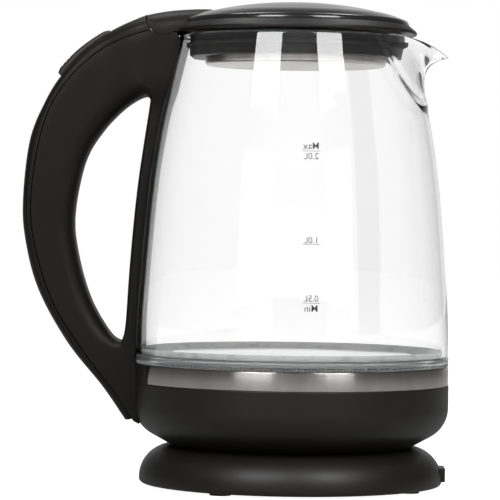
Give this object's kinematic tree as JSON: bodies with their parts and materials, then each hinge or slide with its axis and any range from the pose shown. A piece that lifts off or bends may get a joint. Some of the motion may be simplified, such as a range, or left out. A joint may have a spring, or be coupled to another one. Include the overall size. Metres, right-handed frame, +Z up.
{
  "type": "electric kettle",
  "caption": "Cordless electric kettle: glass jug with a pressed spout, loop handle, hinged lid and switch rocker, standing on a round power base that it lifts off.",
  "frame": {"origin": "on the table under the middle of the power base; the claimed mount base_underside is straight above it, 1.2 mm higher, because the rubber feet lift the base plate by that much", "axes": "+Z up, +X towards the spout, -X towards the handle"},
  "size_m": [0.2259, 0.1656, 0.2538],
  "materials": {
    "base_plastic": "satin moulded",
    "housing_plastic": "satin moulded",
    "handle_plastic": "satin moulded",
    "lid_plastic": "satin moulded",
    "switch_plastic": "polished moulded",
    "inner_plastic": "moulded",
    "clear_plastic": "moulded clear with beads",
    "jug_glass": "blown and pressed, polished",
    "brushed_steel": "brushed round the kettle",
    "plate_steel": "drawn and brushed",
    "aluminium": "cast",
    "steel": "zinc plated",
    "brass": "stamped",
    "silicone": "moulded silicone",
    "foot_rubber": "moulded",
    "lead_sleeve": "sleeved"
  },
  "bodies": {
    "power_base": {"base_cover": "base_plastic", "cord_outlet": "base_plastic", "base_bottom_plate": "base_plastic", "base_feet": "foot_rubber", "base_screws": "steel", "base_connector": "base_plastic", "base_contacts": "brass"},
    "connector": {"kettle_connector": "base_plastic", "connector_contacts": "brass"},
    "kettle": {"lower_housing": "housing_plastic", "handle_screws": "steel", "bottom_cover": "housing_plastic", "bottom_cover_screws": "steel", "steel_band": "brushed_steel", "clear_collar": "clear_plastic", "heating_plate": "plate_steel", "glass_seal": "silicone", "heat_spreader": "aluminium", "heating_element": "aluminium", "element_terminals": "steel", "control_unit": "inner_plastic", "control_studs": "steel", "bimetal_disc": "steel", "glass_body": "jug_glass", "handle_body": "handle_plastic", "handle_cover": "handle_plastic", "switch_pin": "steel", "switch_unit": "inner_plastic", "switch_lead": "lead_sleeve", "hinge_pin": "steel"},
    "power_switch": {"power_switch": "switch_plastic"},
    "lid": {"hinge_arm": "handle_plastic", "lid_body": "handle_plastic", "lid_cover": "lid_plastic", "lid_screws": "steel", "lid_seal": "silicone", "lid_plate": "plate_steel"}
  },
  "joints": [
    {"name": "kettle_lift", "type": "slide", "parent": "power_base", "child": "connector", "axis": [0, 0, 1], "range_m": [0, 0.06]},
    {"name": "kettle_turn", "type": "hinge", "parent": "connector", "child": "kettle", "pos_m": [0, 0, 0.03], "axis": [0, 0, 1], "continuous": true},
    {"name": "lid_hinge", "type": "hinge", "parent": "kettle", "child": "lid", "pos_m": [-0.069, 0, 0.245], "axis": [0, -1, 0], "range_deg": [0, 75]},
    {"name": "switch_rocker", "type": "hinge", "parent": "kettle", "child": "power_switch", "pos_m": [-0.10863, 0, 0.22393], "axis": [0, -1, 0], "range_deg": [0, 6]}
  ]
}
